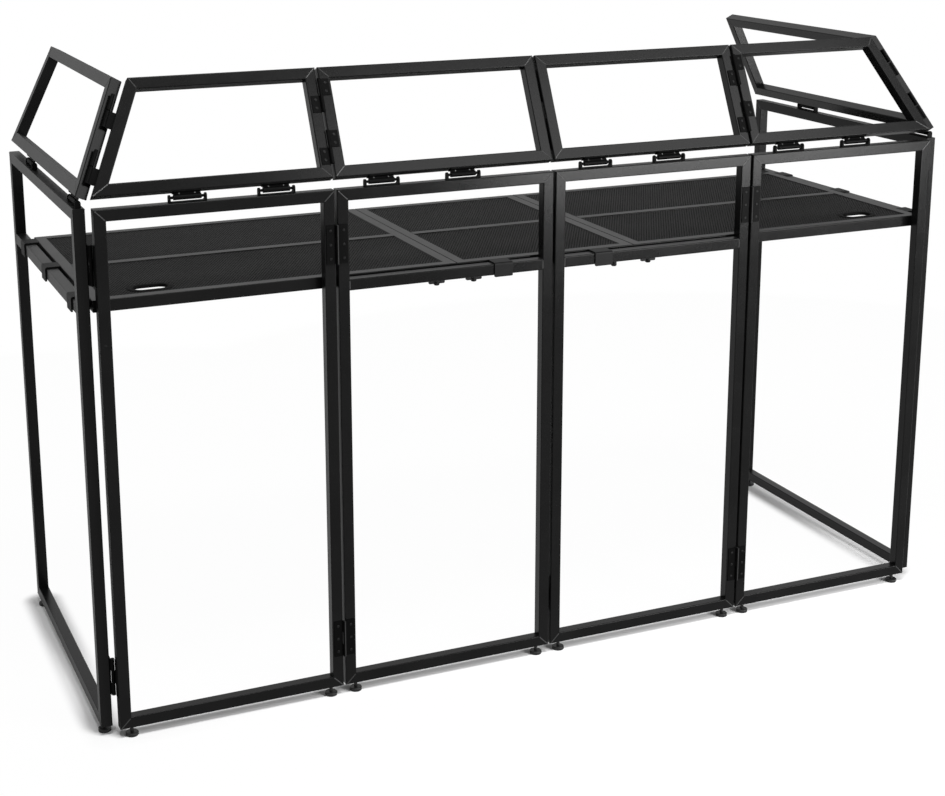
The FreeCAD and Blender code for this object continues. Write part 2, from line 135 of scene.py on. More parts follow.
def math_node(tree, operation, first, second=None):
    """A math node whose inputs are sockets or plain numbers."""
    node = add_node(tree, "ShaderNodeMath", operation=operation)
    for socket, value in zip(node.inputs, (first, second)):
        if value is None:
            continue
        if isinstance(value, (int, float)):
            socket.default_value = value
        else:
            tree.links.new(value, socket)
    return node.outputs[0]


def mix_colours(tree, factor, first, second):
    """A colour between a colour socket and another one, or a plain colour."""
    node = add_node(tree, "ShaderNodeMix", data_type="RGBA")
    colours = [socket for socket in node.inputs if socket.type == "RGBA"]
    tree.links.new(factor, node.inputs["Factor"])
    tree.links.new(first, colours[0])
    if isinstance(second, tuple):
        colours[1].default_value = second
    else:
        tree.links.new(second, colours[1])
    return [socket for socket in node.outputs if socket.type == "RGBA"][0]


def length_of(tree, first, second):
    """The length of a flat vector, from its two parts."""
    return math_node(tree, "SQRT", math_node(tree, "ADD", math_node(tree, "MULTIPLY", first, first),
                                             math_node(tree, "MULTIPLY", second, second)))


def ramp(tree, value, first, last, low, high):
    """A smooth change from low to high as a value goes from first to last."""
    limits = {"From Min": first, "From Max": last, "To Min": low, "To Max": high}
    node = add_node(tree, "ShaderNodeMapRange", limits, interpolation_type="SMOOTHSTEP")
    tree.links.new(value, node.inputs["Value"])
    return node.outputs["Result"]


def spread_of(tree, value, limits):
    """A node that takes a value between two limits to between 0 and 1, or to ends that are linked later."""
    node = add_node(tree, "ShaderNodeMapRange", {"From Min": limits[0], "From Max": limits[1]})
    tree.links.new(value, node.inputs["Value"])
    return node


def group_socket(tree, name, kind, in_out="INPUT", default=None):
    socket = tree.interface.new_socket(name, in_out=in_out, socket_type="NodeSocket" + kind)
    if default is not None:
        socket.default_value = default


# Shared surface effects

CLOUD_COLOUR_LIMITS = (0.3, 0.7)
CLOUD_ROUGH_LIMITS = (0.25, 0.75)
STROKE_LIMITS = (0.66, 0.74)
STROKE_TURN = (0.5, 0.8, 0.4)
STROKE_STRETCH = (1.0, 0.12, 1.0)
PATCH_LIMITS = (0.5, 0.65)
PATCHES_PER_METRE = 5.0
MARK_DULLS = 0.25
GRAZING_POWER = 3.0


def coat_grain_group():
    """Fine orange-peel grain and broad, faint clouding of a sprayed or moulded surface."""
    tree = bpy.data.node_groups.new("coat_grain", "ShaderNodeTree")
    group_socket(tree, "Grain Per Metre", "Float", default=900.0)
    group_socket(tree, "Clouds Per Metre", "Float", default=9.0)
    group_socket(tree, "Dark Colour", "Color", default=(0.01, 0.01, 0.01, 1.0))
    group_socket(tree, "Light Colour", "Color", default=(0.02, 0.02, 0.02, 1.0))
    group_socket(tree, "Smooth", "Float", default=0.35)
    group_socket(tree, "Rough", "Float", default=0.5)
    group_socket(tree, "Colour", "Color", "OUTPUT")
    group_socket(tree, "Roughness", "Float", "OUTPUT")
    group_socket(tree, "Height", "Float", "OUTPUT")
    links = tree.links
    inputs = add_node(tree, "NodeGroupInput")
    outputs = add_node(tree, "NodeGroupOutput")
    place = add_node(tree, "ShaderNodeTexCoord")
    grain = add_node(tree, "ShaderNodeTexNoise", {"Detail": 2.0})
    clouds = add_node(tree, "ShaderNodeTexNoise", {"Detail": 4.0, "Roughness": 0.6})
    links.new(place.outputs["Object"], grain.inputs["Vector"])
    links.new(place.outputs["Object"], clouds.inputs["Vector"])
    links.new(inputs.outputs["Grain Per Metre"], grain.inputs["Scale"])
    links.new(inputs.outputs["Clouds Per Metre"], clouds.inputs["Scale"])
    spread = spread_of(tree, clouds.outputs["Fac"], CLOUD_COLOUR_LIMITS)
    mixed = mix_colours(tree, spread.outputs["Result"], inputs.outputs["Dark Colour"],
                        inputs.outputs["Light Colour"])
    roughness = spread_of(tree, clouds.outputs["Fac"], CLOUD_ROUGH_LIMITS)
    links.new(inputs.outputs["Smooth"], roughness.inputs["To Min"])
    links.new(inputs.outputs["Rough"], roughness.inputs["To Max"])
    links.new(mixed, outputs.inputs["Colour"])
    links.new(roughness.outputs["Result"], outputs.inputs["Roughness"])
    links.new(grain.outputs["Fac"], outputs.inputs["Height"])
    return tree


def handling_marks_group():
    """Sparse, short scuffs that lighten a surface and dull it, as handling leaves them."""
    tree = bpy.data.node_groups.new("handling_marks", "ShaderNodeTree")
    group_socket(tree, "Colour", "Color", default=(0.01, 0.01, 0.01, 1.0))
    group_socket(tree, "Roughness", "Float", default=0.3)
    group_socket(tree, "Mark Colour", "Color", default=(0.05, 0.05, 0.05, 1.0))
    group_socket(tree, "Marks Per Metre", "Float", default=60.0)
    group_socket(tree, "Amount", "Float", default=0.3)
    group_socket(tree, "Colour", "Color", "OUTPUT")
    group_socket(tree, "Roughness", "Float", "OUTPUT")
    links = tree.links
    inputs = add_node(tree, "NodeGroupInput").outputs
    outputs = add_node(tree, "NodeGroupOutput")
    place = add_node(tree, "ShaderNodeTexCoord")
    turned = add_node(tree, "ShaderNodeMapping", {"Rotation": STROKE_TURN, "Scale": STROKE_STRETCH})
    strokes = add_node(tree, "ShaderNodeTexNoise", {"Detail": 3.0, "Roughness": 0.7})
    patches = add_node(tree, "ShaderNodeTexNoise", {"Scale": PATCHES_PER_METRE, "Detail": 2.0})
    links.new(place.outputs["Object"], turned.inputs["Vector"])
    links.new(turned.outputs[0], strokes.inputs["Vector"])
    links.new(inputs["Marks Per Metre"], strokes.inputs["Scale"])
    links.new(place.outputs["Object"], patches.inputs["Vector"])
    thin = spread_of(tree, strokes.outputs["Fac"], STROKE_LIMITS)
    sparse = spread_of(tree, patches.outputs["Fac"], PATCH_LIMITS)
    marks = math_node(tree, "MULTIPLY", thin.outputs["Result"], sparse.outputs["Result"])
    amount = math_node(tree, "MULTIPLY", marks, inputs["Amount"])
    links.new(mix_colours(tree, amount, inputs["Colour"], inputs["Mark Colour"]), outputs.inputs["Colour"])
    dulled = math_node(tree, "ADD", inputs["Roughness"], math_node(tree, "MULTIPLY", amount, MARK_DULLS))
    links.new(dulled, outputs.inputs["Roughness"])
    return tree


COAT_GRAIN = coat_grain_group()
HANDLING_MARKS = handling_marks_group()


def grey(level):
    return (level, level, level, 1.0)


def coated_material(name, dark, light, smooth, rough, grain=900.0, clouds=9.0, bump=0.05, bump_depth=0.0004,
                    specular=0.1, mark=0.03, marks=0.3, grazing=0.45):
    """A black coat or plastic: its colour, roughness and relief come from the shared grain and marks."""
    material = bpy.data.materials.new(name)
    material.use_nodes = True
    tree = material.node_tree
    tree.nodes.clear()
    output = add_node(tree, "ShaderNodeOutputMaterial")
    shader = add_node(tree, "ShaderNodeBsdfPrincipled", {"Specular IOR Level": specular})
    coat = add_node(tree, "ShaderNodeGroup", node_tree=COAT_GRAIN)
    for key, value in {"Grain Per Metre": grain, "Clouds Per Metre": clouds, "Dark Colour": grey(dark),
                       "Light Colour": grey(light), "Smooth": smooth, "Rough": rough}.items():
        coat.inputs[key].default_value = value
    worn = add_node(tree, "ShaderNodeGroup", node_tree=HANDLING_MARKS)
    worn.inputs["Mark Colour"].default_value = grey(mark)
    worn.inputs["Amount"].default_value = marks
    relief = add_node(tree, "ShaderNodeBump", {"Strength": bump, "Distance": bump_depth})
    tree.links.new(coat.outputs["Colour"], worn.inputs["Colour"])
    tree.links.new(coat.outputs["Roughness"], worn.inputs["Roughness"])
    tree.links.new(worn.outputs["Colour"], shader.inputs["Base Color"])
    slant = add_node(tree, "ShaderNodeLayerWeight", {"Blend": 0.5}).outputs["Facing"]
    duller = math_node(tree, "MULTIPLY", math_node(tree, "POWER", slant, GRAZING_POWER), grazing)
    tree.links.new(math_node(tree, "ADD", worn.outputs["Roughness"], duller), shader.inputs["Roughness"])
    tree.links.new(coat.outputs["Height"], relief.inputs["Height"])
    tree.links.new(relief.outputs["Normal"], shader.inputs["Normal"])
    tree.links.new(shader.outputs["BSDF"], output.inputs["Surface"])
    return material


def hinge_material(name):
    return coated_material(name, 0.0012, 0.0022, 0.34, 0.44, grain=700.0, bump=0.06, specular=0.03,
                           mark=0.02)


MATERIALS = {
    "powder_coat": coated_material("satin_black_powder_coat", 0.0022, 0.0038, 0.17, 0.21, bump=0.10),
    "hinge_steel": hinge_material("hinge_black"),
    "plate_steel": coated_material("plate_black", 0.0030, 0.0050, 0.32, 0.42, bump=0.08, specular=0.08),
    "perforated_sheet": coated_material("perforated_black", 0.0050, 0.0080, 0.45, 0.55, bump=0.08,
                                        specular=0.06, grazing=0.3),
    "grommet_plastic": coated_material("moulded_black", 0.0020, 0.0034, 0.45, 0.55, grain=1800.0, bump=0.10,
                                       specular=0.04, marks=0.1),
    "foot_plastic": coated_material("foot_black", 0.0040, 0.0070, 0.36, 0.50, grain=1500.0, bump=0.12,
                                    specular=0.25),
    "black_fastener": coated_material("oxide_black", 0.0030, 0.0060, 0.30, 0.42, grain=1200.0, bump=0.05,
                                      specular=0.12),
}
# Rivet heads in a worn-steel grey, lightened further as a painted glint on the straps
RIVET_MATERIAL = coated_material("worn_rivet", 0.0700, 0.1200, 0.24, 0.34, grain=1200.0, bump=0.05,
                                 specular=0.5, mark=0.2)
# The beads' grey, well above the tubes' black, is a painted highlight along the mitre lines
WELD_MATERIAL = coated_material("coated_weld", 0.0180, 0.0280, 0.24, 0.32, grain=500.0, bump=0.20,
                                specular=0.25)


def painted_crest_hinge_material(seam):
    """Hinge black with a painted highlight: a lighter grey line along the knuckle crests of the two front
    lines.
    """
    material = hinge_material("butt_hinge_black")
    tree = material.node_tree
    base = tree.nodes["Principled BSDF"].inputs["Base Color"]
    spot = add_node(tree, "ShaderNodeSeparateXYZ")
    tree.links.new(add_node(tree, "ShaderNodeTexCoord").outputs["Object"], spot.inputs[0])
    aside = math_node(tree, "SUBTRACT", math_node(tree, "ABSOLUTE", spot.outputs["X"]), seam)
    # The mask picks the knuckle crests, which take a lighter grey as a painted highlight
    crest = ramp(tree, math_node(tree, "ABSOLUTE", aside), CREST_NEAR, CREST_FAR, CREST_HIGHLIGHT_SHARE, 0.0)
    tree.links.new(mix_colours(tree, crest, base.links[0].from_socket, grey(CREST_HIGHLIGHT_GREY)), base)
    return material


def dress_frame():
    """Gives every node of the frame the material of its slot, and the butt hinges theirs with the painted
    highlight on the knuckle crests.
    """
    butt_hinge_black = painted_crest_hinge_material(FRONT_SEAM)
    for entry in record["subparts"]:
        node = frame["nodes"][entry["node"]]
        butt_hinges = entry["node"].startswith("panel_hinges")
        for slot in node.material_slots:
            slot.material = butt_hinge_black if butt_hinges else MATERIALS[entry["material_slot"]]


# Pieces


def new_piece(name, mesh, body):
    """Puts a finished mesh into the scene as a piece that rides on a body."""
    piece = bpy.data.objects.new(name, mesh)
    scene.collection.objects.link(piece)
    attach(piece, body)
    return piece


def mesh_from(name, points, faces=(), edges=()):
    mesh = bpy.data.meshes.new(name)
    mesh.from_pydata([tuple(point) for point in points], [tuple(edge) for edge in edges],
                     [tuple(face) for face in faces])
    mesh.update()
    return mesh


def socket_key(tree, name):
    """The identifier of a tree's input, by which a modifier holds its value."""
    sockets = [item for item in tree.interface.items_tree if item.in_out == "INPUT"]
    return [socket.identifier for socket in sockets if socket.name == name][0]


def grown(tree, name, mesh, values):
    """Runs a geometry tree on a mesh and returns the result as a plain mesh."""
    seed = bpy.data.objects.new(name + "_seed", mesh)
    scene.collection.objects.link(seed)
    modifier = seed.modifiers.new(name, "NODES")
    modifier.node_group = tree
    for key, value in values.items():
        modifier[socket_key(tree, key)] = value
    bpy.context.view_layer.update()
    graph = bpy.context.evaluated_depsgraph_get()
    result = bpy.data.meshes.new_from_object(seed.evaluated_get(graph), depsgraph=graph)
    result.name = name
    bpy.data.objects.remove(seed)
    return result


def end_tree(tree, geometry):
    """Ends a tree: copies become real, and everything takes the tree's material."""
    inputs = add_node(tree, "NodeGroupInput").outputs
    outputs = add_node(tree, "NodeGroupOutput")
    real = add_node(tree, "GeometryNodeRealizeInstances")
    finish = add_node(tree, "GeometryNodeSetMaterial")
    tree.links.new(geometry, real.inputs[0])
    tree.links.new(real.outputs[0], finish.inputs["Geometry"])
    tree.links.new(inputs["Material"], finish.inputs["Material"])
    tree.links.new(finish.outputs[0], outputs.inputs[0])


def template(name, mesh):
    """An object that a tree copies; it is taken out again after use."""
    thing = bpy.data.objects.new(name, mesh)
    scene.collection.objects.link(thing)
    return thing


# Perforated table sheets

HOLE_PITCH = 0.0069
HOLE_RADIUS = 0.0022
HOLE_TURN = 210
MERGE_DISTANCE = 0.00005
SHEET_RECESS = 0.002
COLLAR_LENGTH = 0.077
COLLAR_WIDTH = 0.041


def perforation_tree():
    """Rows of holed cells, every second row moved by half a pitch, as a closed sheet with its thickness."""
    tree = bpy.data.node_groups.new("perforated_sheet", "GeometryNodeTree")
    group_socket(tree, "Geometry", "Geometry")
    group_socket(tree, "Holed Cell", "Object")
    group_socket(tree, "Plain Cell", "Object")
    group_socket(tree, "Columns", "Int", default=10)
    group_socket(tree, "Rows", "Int", default=10)
    group_socket(tree, "Pitch", "Float", default=0.006)
    group_socket(tree, "Row Height", "Float", default=0.005)
    group_socket(tree, "Thickness", "Float", default=0.0015)
    group_socket(tree, "Corner", "Vector")
    group_socket(tree, "Slot X", "Float", default=-1.0)
    group_socket(tree, "Slot Y", "Float", default=-1.0)
    group_socket(tree, "Slot Straight", "Float", default=0.0)
    group_socket(tree, "Slot Radius", "Float", default=0.0)
    group_socket(tree, "Material", "Material")
    group_socket(tree, "Geometry", "Geometry", "OUTPUT")
    links = tree.links
    inputs = add_node(tree, "NodeGroupInput").outputs
    index = add_node(tree, "GeometryNodeInputIndex").outputs[0]

    # One point for each holed cell
    column = math_node(tree, "MODULO", index, inputs["Columns"])
    row = math_node(tree, "FLOOR", math_node(tree, "DIVIDE", index, inputs["Columns"]))
    odd = math_node(tree, "MODULO", row, 2.0)
    step = math_node(tree, "ADD", column, math_node(tree, "MULTIPLY", odd, 0.5))
    cell_x = math_node(tree, "MULTIPLY", step, inputs["Pitch"])
    cell_y = math_node(tree, "MULTIPLY", row, inputs["Row Height"])
    cell_place = add_node(tree, "ShaderNodeCombineXYZ")
    links.new(cell_x, cell_place.inputs["X"])
    links.new(cell_y, cell_place.inputs["Y"])
    cells = add_node(tree, "GeometryNodePoints")
    links.new(math_node(tree, "MULTIPLY", inputs["Columns"], inputs["Rows"]), cells.inputs["Count"])
    links.new(cell_place.outputs[0], cells.inputs["Position"])

    # Cells under the cable slot are left out
    spot = add_node(tree, "ShaderNodeSeparateXYZ")
    links.new(add_node(tree, "GeometryNodeInputPosition").outputs[0], spot.inputs[0])
    half_pitch = math_node(tree, "MULTIPLY", inputs["Pitch"], 0.5)
    half_row = math_node(tree, "MULTIPLY", inputs["Row Height"], 0.5)
    middle_x = math_node(tree, "ADD", spot.outputs["X"], half_pitch)
    middle_y = math_node(tree, "ADD", spot.outputs["Y"], half_row)
    along = math_node(tree, "ABSOLUTE", math_node(tree, "SUBTRACT", middle_x, inputs["Slot X"]))
    beyond = math_node(tree, "MAXIMUM", math_node(tree, "SUBTRACT", along, inputs["Slot Straight"]), 0.0)
    across = math_node(tree, "SUBTRACT", middle_y, inputs["Slot Y"])
    distance = length_of(tree, beyond, across)
    kept = add_node(tree, "GeometryNodeDeleteGeometry", domain="POINT")
    links.new(cells.outputs[0], kept.inputs["Geometry"])
    links.new(math_node(tree, "LESS_THAN", distance, inputs["Slot Radius"]), kept.inputs["Selection"])

    # A plain half cell ends each row, on the right of even rows and on the left of odd ones
    end_odd = math_node(tree, "MODULO", index, 2.0)
    end_column = math_node(tree, "MULTIPLY", math_node(tree, "SUBTRACT", 1.0, end_odd), inputs["Columns"])
    end_place = add_node(tree, "ShaderNodeCombineXYZ")
    links.new(math_node(tree, "MULTIPLY", end_column, inputs["Pitch"]), end_place.inputs["X"])
    links.new(math_node(tree, "MULTIPLY", index, inputs["Row Height"]), end_place.inputs["Y"])
    ends = add_node(tree, "GeometryNodePoints")
    links.new(inputs["Rows"], ends.inputs["Count"])
    links.new(end_place.outputs[0], ends.inputs["Position"])

    flat = add_node(tree, "GeometryNodeJoinGeometry")
    for points, cell in ((kept, "Holed Cell"), (ends, "Plain Cell")):
        copies = add_node(tree, "GeometryNodeInstanceOnPoints")
        source = add_node(tree, "GeometryNodeObjectInfo")
        links.new(inputs[cell], source.inputs["Object"])
        links.new(points.outputs[0], copies.inputs["Points"])
        links.new(source.outputs["Geometry"], copies.inputs["Instance"])
        links.new(copies.outputs[0], flat.inputs[0])
    realized = add_node(tree, "GeometryNodeRealizeInstances")
    joined = add_node(tree, "GeometryNodeMergeByDistance", {"Distance": MERGE_DISTANCE})
    links.new(flat.outputs[0], realized.inputs[0])
    links.new(realized.outputs[0], joined.inputs["Geometry"])

    # The flat sheet becomes the underside, and its copy is raised into the top with walls between
    raised = add_node(tree, "GeometryNodeExtrudeMesh", {"Individual": False, "Offset": (0.0, 0.0, 1.0)})
    links.new(joined.outputs[0], raised.inputs["Mesh"])
    links.new(inputs["Thickness"], raised.inputs["Offset Scale"])
    underside = add_node(tree, "GeometryNodeFlipFaces")
    links.new(joined.outputs[0], underside.inputs[0])
    closed = add_node(tree, "GeometryNodeJoinGeometry")
    links.new(raised.outputs["Mesh"], closed.inputs[0])
    links.new(underside.outputs[0], closed.inputs[0])
    sealed = add_node(tree, "GeometryNodeMergeByDistance", {"Distance": MERGE_DISTANCE})
    links.new(closed.outputs[0], sealed.inputs["Geometry"])
    laid = add_node(tree, "GeometryNodeTransform")
    links.new(sealed.outputs[0], laid.inputs["Geometry"])
    links.new(inputs["Corner"], laid.inputs["Translation"])
    end_tree(tree, laid.outputs[0])
    return tree


def holed_cell(pitch, height):
    """A flat rectangle round a six-sided hole."""
    rim = [(0, 0), (pitch / 2, 0), (pitch, 0), (pitch, height), (pitch / 2, height), (0, height)]
    hole = []
    sides = len(rim)
    for i in range(sides):
        angle = math.radians(HOLE_TURN + 360 / sides * i)
        hole.append((pitch / 2 + HOLE_RADIUS * math.cos(angle), height / 2 + HOLE_RADIUS * math.sin(angle)))
    points = [(x, y, 0) for x, y in rim + hole]
    faces = []
    for i in range(sides):
        j = (i + 1) % sides
        faces.append((i, j, sides + j, sides + i))
    return mesh_from("holed_cell", points, faces)


def plain_cell(pitch, height):
    points = [(0, 0, 0), (pitch / 2, 0, 0), (pitch / 2, height, 0), (0, height, 0)]
    return mesh_from("plain_cell", points, [(0, 1, 2, 3)])


def table_bays():
    """Corners of the six bays between the table's tubes, from the table frames' own boxes."""
    bays = []
    for section in ("left", "centre", "right"):
        low, high = node_box("table_frame_" + section)
        middle = (low.y + high.y) / 2
        for start, end in ((low.y + TUBE, middle - TUBE / 2), (middle + TUBE / 2, high.y - TUBE)):
            bays.append((section, Vector((low.x + TUBE, start, high.z - SHEET_RECESS - SHEET_THICKNESS)),
                         Vector((high.x - TUBE, end, high.z - SHEET_RECESS))))
    return bays


def grommet_centres():
    """Centres of the two cable slots, from the openings that the record states."""
    centres = {}
    for opening in record["physics"]["openings"]:
        if opening["name"].startswith("cable_slot_"):
            low, high = (Vector(corner) for corner in opening["box_m"])
            centres[opening["name"].replace("cable_slot_", "")] = (low + high) / 2
    return centres


def perforated_sheets():
    """A finely holed sheet in each bay of the table, with room for the collar where a cable slot is."""
    tree = perforation_tree()
    centres = grommet_centres()
    for number, (section, low, high) in enumerate(table_bays(), 1):
        columns = round((high.x - low.x) / HOLE_PITCH - 0.5)
        pitch = (high.x - low.x) / (columns + 0.5)
        rows = round((high.y - low.y) / (pitch * math.sqrt(3) / 2))
        height = (high.y - low.y) / rows
        cell = template("holed_cell", holed_cell(pitch, height))
        end = template("plain_cell", plain_cell(pitch, height))
        values = {"Holed Cell": cell, "Plain Cell": end, "Columns": columns, "Rows": rows, "Pitch": pitch,
                  "Row Height": height, "Thickness": SHEET_THICKNESS, "Corner": low,
                  "Material": MATERIALS["perforated_sheet"]}
        centre = centres.get(section)
        if centre is not None and low.y < centre.y < high.y:
            values.update({"Slot X": centre.x - low.x, "Slot Y": centre.y - low.y,
                           "Slot Straight": (COLLAR_LENGTH - COLLAR_WIDTH) / 2,
                           "Slot Radius": COLLAR_WIDTH / 2 + height / 2})
        name = "perforated_sheet_%d" % number
        mesh = grown(tree, name, mesh_from("seed", [(0, 0, 0)]), values)
        bpy.data.objects.remove(cell)
        bpy.data.objects.remove(end)
        piece = new_piece(name, mesh, ROOT)
        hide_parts("table_sheets")


# Screw heads, rivets and hinge brackets

SCREW_RADIUS = 0.0032
SCREW_HEIGHT = 0.0012
SOCKET_RADIUS = 0.0014
SCREW_SIDES = 12
LEAF_SCREW_OFFSET = 0.015
LEAF_SCREW_HEIGHTS = (0.012, 0.0425, 0.073)
HINGE_HEIGHT = 0.085
FLAG_CENTRES = (0.066, 0.181)
FLAG_HALF = 0.037
FLAG_SCREW_OFFSET = 0.011
FLAG_SCREW_SHARES = (0.25, 0.75)
UPPER_SEAMS = (("upper_1", "upper_2", "front"), ("upper_2", "upper_3", "back"),
               ("upper_3", "upper_4", "front"))
HEAD_SUNK = 0.0003
HINGE_SCREW_SIZE = 1.0
SPIN_STEP = 2.4


def fitting_tree():
    """A copy of a fitting on each point, turned to the point's facing and spun by its spin."""
    tree = bpy.data.node_groups.new("fittings", "GeometryNodeTree")
    group_socket(tree, "Geometry", "Geometry")
    group_socket(tree, "Fitting", "Object")
    group_socket(tree, "Size", "Float", default=1.0)
    group_socket(tree, "Material", "Material")
    group_socket(tree, "Geometry", "Geometry", "OUTPUT")
    links = tree.links
    inputs = add_node(tree, "NodeGroupInput").outputs
    facing = add_node(tree, "GeometryNodeInputNamedAttribute", {"Name": "facing"}, data_type="FLOAT_VECTOR")
    spin = add_node(tree, "GeometryNodeInputNamedAttribute", {"Name": "spin"}, data_type="FLOAT")
    aimed = add_node(tree, "FunctionNodeAlignRotationToVector", axis="Z")
    links.new(facing.outputs["Attribute"], aimed.inputs["Vector"])
    twist = add_node(tree, "FunctionNodeAxisAngleToRotation", {"Axis": (0.0, 0.0, 1.0)})
    links.new(spin.outputs["Attribute"], twist.inputs["Angle"])
    turned = add_node(tree, "FunctionNodeRotateRotation", rotation_space="LOCAL")
    links.new(aimed.outputs[0], turned.inputs["Rotation"])
    links.new(twist.outputs[0], turned.inputs["Rotate By"])
    source = add_node(tree, "GeometryNodeObjectInfo")
    links.new(inputs["Fitting"], source.inputs["Object"])
    copies = add_node(tree, "GeometryNodeInstanceOnPoints")
    links.new(inputs["Geometry"], copies.inputs["Points"])
    links.new(source.outputs["Geometry"], copies.inputs["Instance"])
    links.new(turned.outputs[0], copies.inputs["Rotation"])
    links.new(inputs["Size"], copies.inputs["Scale"])
    end_tree(tree, copies.outputs[0])
    return tree


def ring_points(radii, height):
    """Points round the z axis at a height, one for each radius."""
    points = []
    for i, radius in enumerate(radii):
        angle = 2 * math.pi * i / len(radii)
        points.append((radius * math.cos(angle), radius * math.sin(angle), height))
    return points


def stacked_rings(name, rings):
    """A closed solid through rings of equally many points, from its underside to its top."""
    sides = len(rings[0])
    last = (len(rings) - 1) * sides
    faces = [tuple(reversed(range(sides)))]
    for low in range(0, last, sides):
        high = low + sides
        for i in range(sides):
            j = (i + 1) % sides
            faces.append((low + i, low + j, high + j, high + i))
    faces.append(tuple(range(last, last + sides)))
    return mesh_from(name, [point for ring in rings for point in ring], faces)


def screw_head():
    """A low pan head with a six-sided socket, closed underneath."""
    outside = [(1.0, -HEAD_SUNK), (1.0, SCREW_HEIGHT * 0.4), (0.9, SCREW_HEIGHT * 0.8), (0.68, SCREW_HEIGHT)]
    rings = [ring_points([SCREW_RADIUS * share] * SCREW_SIDES, height) for share, height in outside]
    socket = [SOCKET_RADIUS, SOCKET_RADIUS * math.cos(math.pi / 6)] * (SCREW_SIDES // 2)
    rings += [ring_points(socket, height) for height in (SCREW_HEIGHT, SCREW_HEIGHT * 0.25)]
    return stacked_rings("screw_head", rings)


def screws_on_hinges():
    """Screw places by body: three on each butt hinge leaf, two on each lift-off hinge leaf."""
    places = {}
    leaf_low, leaf_high = node_box("panel_hinges_middle")
    front = node_box("front_frame_2")[0].y - LEAF_THICKNESS
    back = node_box("front_frame_2")[1].y + LEAF_THICKNESS
    hinges = [("front_left", ROOT, -FRONT_SEAM, front, Vector((0, -1, 0))),
              (ROOT, "front_right", FRONT_SEAM, front, Vector((0, -1, 0))),
              (ROOT, ROOT, 0.0, back, Vector((0, 1, 0)))]
    for left_body, right_body, x, y, facing in hinges:
        for low in (leaf_low.z, leaf_high.z - HINGE_HEIGHT):
            for up in LEAF_SCREW_HEIGHTS:
                for body, offset in ((left_body, -LEAF_SCREW_OFFSET), (right_body, LEAF_SCREW_OFFSET)):
                    places.setdefault(body, []).append((Vector((x + offset, y, low + up)), facing))
    for left_body, right_body, face in UPPER_SEAMS:
        out = -1.0 if face == "front" else 1.0
        for body, end, upper_half in ((left_body, "right", False), (right_body, "left", True)):
            outline, place = UPPER_FRAMES[body]
            x = FLAG_SCREW_OFFSET if end == "left" else outline[1].x - FLAG_SCREW_OFFSET
            for centre in FLAG_CENTRES:
                low = UPPER_OVER_PIN + centre - (0.0 if upper_half else FLAG_HALF)
                for share in FLAG_SCREW_SHARES:
                    spot = place @ Vector((x, out * (TUBE / 2 + LEAF_THICKNESS), low + share * FLAG_HALF))
                    places.setdefault(body, []).append((spot, place.to_3x3() @ Vector((0, out, 0))))
    return places


def fittings(name, shape, places, body, material, size=1.0):
    """Copies of a shape at places with facings and spins, as one piece."""
    seed = mesh_from("seed", [place for place, facing, spin in places])
    seed.attributes.new("facing", "FLOAT_VECTOR", "POINT")
    seed.attributes.new("spin", "FLOAT", "POINT")
    for i, (place, facing, spin) in enumerate(places):
        seed.attributes["facing"].data[i].vector = facing
        seed.attributes["spin"].data[i].value = spin
    fitting = template("fitting", shape)
    mesh = grown(FITTING_TREE, name, seed, {"Fitting": fitting, "Size": size, "Material": material})
    bpy.data.objects.remove(fitting)
    return new_piece(name, mesh, body)


def screws(name, places, body, size):
    """Screw heads at places with facings, each turned a little further than the last."""
    turned = [(place, facing, i * SPIN_STEP) for i, (place, facing) in enumerate(places)]
    return fittings(name, screw_head(), turned, body, MATERIALS["black_fastener"], size)


# Tilt hinges: the base that joins the ears, and the rivets in the straps

EAR_ROOM = 0.036
EAR_RADIUS = 0.006
BASE_THICKNESS = 0.0015
BASE_BEND = 0.0035
BASE_SUNK = 0.0002
BEND_STEPS = 5
TILT_FIRST = (0.196, 0.105, 0.105, 0.105)
TILT_SPACING = 0.190
TILT_SIDE_PLACES = (0.045, 0.520)
STRAP_FACE = -0.00125
RIVET_HEIGHT = 0.0078
RIVET_APART = 0.0165
RIVET_SIDES = 10
RIVET_RADIUS = 0.0017
RIVET_RISE = 0.0009


def bracket_base():
    """The base of a bracket along x, bent up into its ears at both ends, with its underside on the rail."""
    half = []
    for i in range(BEND_STEPS + 1):
        angle = math.pi / 2 * i / BEND_STEPS
        half.append((EAR_ROOM - BASE_BEND * (1 - math.cos(angle)),
                     BASE_THICKNESS + BASE_BEND * (1 - math.sin(angle))))
    outline = [(-EAR_ROOM, -BASE_SUNK), (EAR_ROOM, -BASE_SUNK)] + half + [(-x, z) for x, z in reversed(half)]
    count = len(outline)
    points = [(x, y, z) for y in (-EAR_RADIUS, EAR_RADIUS) for x, z in outline]
    faces = [tuple(range(count)), tuple(reversed(range(count, 2 * count)))]
    for i in range(count):
        j = (i + 1) % count
        faces.append((j, i, count + i, count + j))
    return mesh_from("bracket_base", points, faces)


def rivet_head():
    """A low domed head, closed underneath."""
    outside = [(1.0, -HEAD_SUNK), (1.0, 0.0), (0.8, RIVET_RISE * 0.6), (0.4, RIVET_RISE * 0.93)]
    rings = [ring_points([RIVET_RADIUS * share] * RIVET_SIDES, height) for share, height in outside]
    return stacked_rings("rivet_head", rings)


